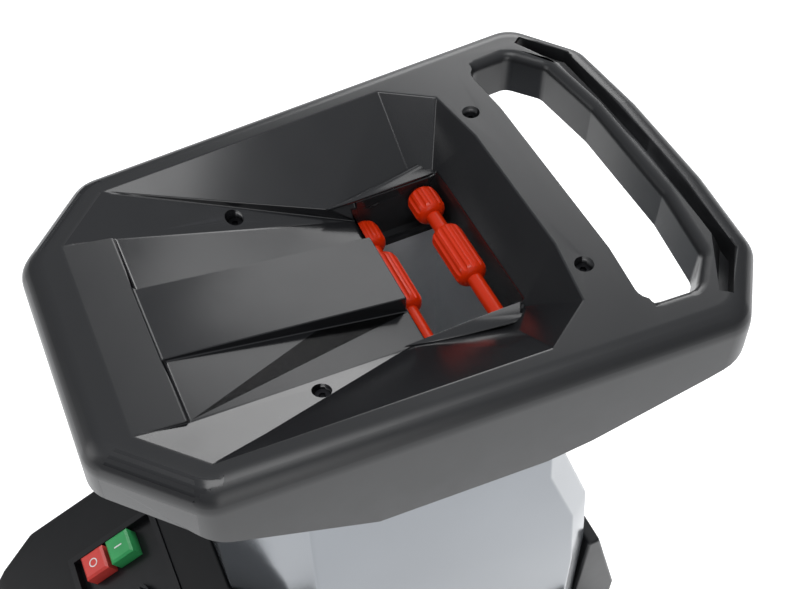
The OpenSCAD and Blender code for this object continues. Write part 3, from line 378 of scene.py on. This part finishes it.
def copied(node, flat=0.4):
    """A frame part as one clean mesh: doubles merged, faces within flat degrees joined."""
    mesh = bmesh.new()
    mesh.from_mesh(frame["nodes"][node].data)
    bmesh.ops.remove_doubles(mesh, verts=mesh.verts, dist=DOUBLES)
    bmesh.ops.dissolve_limit(mesh, angle_limit=math.radians(flat),
                             verts=mesh.verts, edges=mesh.edges)
    return mesh


def every_edge(edge):
    return True


def turning_edges(mesh, least, chosen):
    return [edge for edge in mesh.edges if len(edge.link_faces) == 2
            and edge.calc_face_angle() > math.radians(least) and chosen(edge)]


def broken(mesh, width, segments=2, least=28.0, chosen=every_edge):
    """Bevels the chosen edges that turn by more than least degrees."""
    bmesh.ops.bevel(mesh, geom=turning_edges(mesh, least, chosen), offset=width,
                    segments=segments, profile=0.5, affect="EDGES", clamp_overlap=False,
                    material=-1)
    return mesh


def softened(node, width, chosen=every_edge):
    """Puts a copy with broken edges in a frame part's place."""
    piece = finished(node + "_soft", broken(copied(node), width, chosen=chosen), node)
    piece.modifiers.new("even_faces", "WEIGHTED_NORMAL").keep_sharp = True
    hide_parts(node)
    print(piece.name, len(piece.data.polygons), "faces")
    return piece


SEAM_REACH = 25 * MM
EDGE_WIDTHS = {"motor_hood": 3, "hood_tray": 2, "base": 2.5, "rear_carrier": 3,
               "collecting_box": 1.5, "box_latch": 1}
COLUMN_EDGE = 1.5 * MM


def off_the_seam(edge):
    """The column's halves meet flush at the middle, so the seam stays sharp."""
    return all(abs(v.co.x) > SEAM_REACH for v in edge.verts)


for node, width in EDGE_WIDTHS.items():
    softened(node, width * MM)
for node in ("column_left", "column_right"):
    softened(node, COLUMN_EDGE, chosen=off_the_seam)

# %% [markdown]
# ## The hopper
# The hopper is one moulding with two finishes: a satin rim with a fat rolled edge, and a polished
# funnel. Its edges are not alike either. The hand opening is padded by a wide round on the two
# sides and at the back and has a small one at its front, and the creases of the funnel have a
# tight one that catches a bright line. The rim's roll comes from the frame in steps, and a bevel
# on every ring between two steps turns them into one round. So the bevel runs several times, each
# time on edges picked by where they lie. The deck is one face with holes, which a bevel can
# spoil, so two planes first cut it into simple faces.

# %% Round the hopper's edges
GRIP_LOW, GRIP_FRONT, GRIP_SIDE, GRIP_BACK = 145 * MM, 153 * MM, 135 * MM, 220 * MM
PAD_FROM_SIDE = 129 * MM
FUNNEL_HALF, FUNNEL_FRONT, FUNNEL_BACK = 139 * MM, -199 * MM, 119 * MM
ROLL_BACK, ROLL_DEPTH, FUNNEL_DEPTH = 236 * MM, 20 * MM, 57 * MM
DECK_CUT = 139 * MM
LEVEL = 0.05 * MM
PAD_ROUND, GRIP_ROUND, ROLL_ROUND, CREASE_ROUND = 8 * MM, 1.0 * MM, 2.42 * MM, 1.1 * MM


def spot(edge):
    """The middle of an edge, seen from the hopper's centre at the height of the rim."""
    middle = (edge.verts[0].co + edge.verts[1].co) / 2
    return Vector((middle.x, middle.y - HOPPER_Y, middle.z - RIM_TOP))


def on_deck(edge):
    return all(abs(v.co.z - RIM_TOP) < LEVEL for v in edge.verts)


def grip_edge(edge):
    at = spot(edge)
    return on_deck(edge) and abs(at.x) < GRIP_SIDE and GRIP_LOW < at.y < GRIP_BACK


def padded_edge(edge):
    at = spot(edge)
    return grip_edge(edge) and (at.y > GRIP_FRONT or abs(at.x) > PAD_FROM_SIDE)


def funnel_edge(edge):
    at = spot(edge)
    return (-FUNNEL_DEPTH < at.z < LEVEL and abs(at.x) < FUNNEL_HALF
            and FUNNEL_FRONT < at.y < FUNNEL_BACK and edge.calc_length() > 3 * MM)


def roll_ring(edge):
    """The level rings of the rolled rim, which the frame draws as fifteen-degree steps."""
    first, second = (v.co for v in edge.verts)
    at = spot(edge)
    outside = abs(at.x) > FUNNEL_HALF or at.y < FUNNEL_FRONT or at.y > ROLL_BACK
    shallow = edge.calc_face_angle() < math.radians(25)
    return (abs(first.z - second.z) < 0.01 * MM and -ROLL_DEPTH < at.z < -0.02 * MM
            and outside and shallow)


def opening_edge(edge):
    return grip_edge(edge) and not padded_edge(edge)


hopper = copied("hopper", 0.06)
for point, across in (((0, 0, 0), (1, 0, 0)), ((0, HOPPER_Y + DECK_CUT, 0), (0, 1, 0))):
    bmesh.ops.bisect_plane(hopper, geom=hopper.verts[:] + hopper.edges[:] + hopper.faces[:],
                           plane_co=point, plane_no=across)
broken(hopper, PAD_ROUND, 5, 60, padded_edge)
broken(hopper, GRIP_ROUND, 2, 60, opening_edge)
broken(hopper, ROLL_ROUND, 3, 5, roll_ring)
broken(hopper, CREASE_ROUND, 3, 9, funnel_edge)
hopper_piece = finished("hopper_moulding", hopper, "hopper")
hopper_piece.data.materials.append(glossy.material)
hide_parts("hopper")
print("hopper:", len(hopper_piece.data.polygons), "faces")


# %% [markdown]
# ## Polishing the funnel
# The polished faces are picked by their place: below the deck, inside the funnel's outline, not
# facing down, and not on the blank plate at the front, which stays satin.

# %% Polish the funnel
PLATE_HALF, PLATE_END = 85.5 * MM, -161 * MM
POLISH_TOP, POLISH_FOOT = -0.4 * MM, -62 * MM


def inside_funnel(face):
    x, y, z = face.center.x, face.center.y - HOPPER_Y, face.center.z - RIM_TOP
    plate = abs(x) < PLATE_HALF and y < PLATE_END
    return (POLISH_FOOT < z < POLISH_TOP and abs(x) < FUNNEL_HALF
            and FUNNEL_FRONT + 1 * MM < y < FUNNEL_BACK
            and face.normal.z > -0.2 and not plate)


for face in hopper_piece.data.polygons:
    face.material_index = 1 if inside_funnel(face) else 0
hopper_piece.modifiers.new("even_faces", "WEIGHTED_NORMAL").keep_sharp = True
print("polished:", sum(face.material_index for face in hopper_piece.data.polygons), "faces")

# %% [markdown]
# ## The lips of the throat
# On each side of the throat a leaf-shaped lip closes the gap between the funnel and the roller's
# bearing wall. It is one outline, drawn on a flat, extruded and broken all round, and mirrored.

# %% Two lips
LIP_OUTLINE = [
    (70.6, -4, -40.2), (76.2, 20, -41.0), (80.2, 42, -41.2), (84.6, 77, -41.4),
    (87.5, 86, -40.2), (88.0, 92, -38.6), (84.6, 92.5, -38.6), (83.4, 87, -39.6),
    (79.5, 83.5, -40.2), (70.9, 88.5, -39.4), (70.2, 52, -39.9), (70.2, 19, -40.4)
]
LIP_THICKNESS, LIP_ROUND = 2.2 * MM, 0.6 * MM


def leaf(outline, thickness, edge):
    """A flat leaf with rounded edges, from its outline in the hopper's own millimetres."""
    mesh = bmesh.new()
    corners = [mesh.verts.new((x * MM, y * MM + HOPPER_Y, z * MM + RIM_TOP))
               for x, y, z in outline]
    face = mesh.faces.new(corners)
    grown = bmesh.ops.extrude_face_region(mesh, geom=[face])
    for vert in [part for part in grown["geom"] if isinstance(part, bmesh.types.BMVert)]:
        vert.co.z += thickness
    bmesh.ops.recalc_face_normals(mesh, faces=mesh.faces)
    return broken(mesh, edge, 2, 28)


lips = leaf(LIP_OUTLINE, LIP_THICKNESS, LIP_ROUND)
bmesh.ops.mirror(lips, geom=lips.verts[:] + lips.edges[:] + lips.faces[:], axis="X",
                 merge_dist=0)
bmesh.ops.recalc_face_normals(lips, faces=lips.faces)
throat_lips = finished("throat_lips", lips, "hopper", glossy)
print("lips:", len(throat_lips.data.polygons), "faces")

# %% [markdown]
# ## Marks on the two buttons
# The stop button carries a pale ring and the start button a pale bar, the plain signs for off and
# on. Each lies in the plane of the button's largest upward face, so it is placed from that face.

# %% Ring and bar
RING_RADIUS, RING_WIDTH, RING_STEPS = 4.2 * MM, 1.0 * MM, 48
BAR_WIDTH, BAR_LENGTH, MARK_THICKNESS = 1.2 * MM, 8 * MM, 0.3 * MM
MARK_LIFT = 0.1 * MM


def upper_face(node):
    """Middle, normal and two sides of the largest upward face of a frame part."""
    data = frame["nodes"][node].data
    face = max((f for f in data.polygons if f.normal.z > 0.5), key=lambda f: f.area)
    level = [f for f in data.polygons if f.normal.dot(face.normal) > 0.999
             and abs((f.center - face.center).dot(face.normal)) < LEVEL]
    corners = [data.vertices[i].co for f in level for i in f.vertices]
    side = Vector((1, 0, 0))
    ahead = face.normal.cross(side).normalized()
    across = [c.dot(side) for c in corners]
    along = [c.dot(ahead) for c in corners]
    middle = (side * (min(across) + max(across)) + ahead * (min(along) + max(along))) / 2
    middle += face.normal * face.center.dot(face.normal)
    return middle, face.normal, side, ahead


def lay_on(mesh, middle, normal, side, ahead):
    """Turns a flat mark from the level into a face's plane."""
    turn = Matrix((side, ahead, normal)).transposed().to_4x4()
    bmesh.ops.transform(mesh, matrix=Matrix.Translation(middle + normal * MARK_LIFT) @ turn,
                        verts=mesh.verts)


white_mark = moulded("mark_white", (0.78, 0.78, 0.77), 0.4, 0.000005, 0.05, 1.05)
ring = bmesh.new()
bmesh.ops.create_circle(ring, segments=RING_STEPS, radius=RING_RADIUS)
bmesh.ops.create_circle(ring, segments=RING_STEPS, radius=RING_RADIUS - RING_WIDTH)
bmesh.ops.bridge_loops(ring, edges=ring.edges[:])
bmesh.ops.solidify(ring, geom=ring.faces[:], thickness=MARK_THICKNESS / 2)
bmesh.ops.recalc_face_normals(ring, faces=ring.faces)
lay_on(ring, *upper_face("stop_button"))
finished("stop_ring", ring, "stop_button", white_mark)
bar = bmesh.new()
bmesh.ops.create_cube(bar, size=1.0,
                      matrix=Matrix.Diagonal((BAR_WIDTH, BAR_LENGTH, MARK_THICKNESS, 1)))
lay_on(bar, *upper_face("start_button"))
finished("start_bar", bar, "start_button", white_mark)
print("ring", round(RING_RADIUS / MM, 1), "mm and bar", round(BAR_LENGTH / MM, 1), "mm")
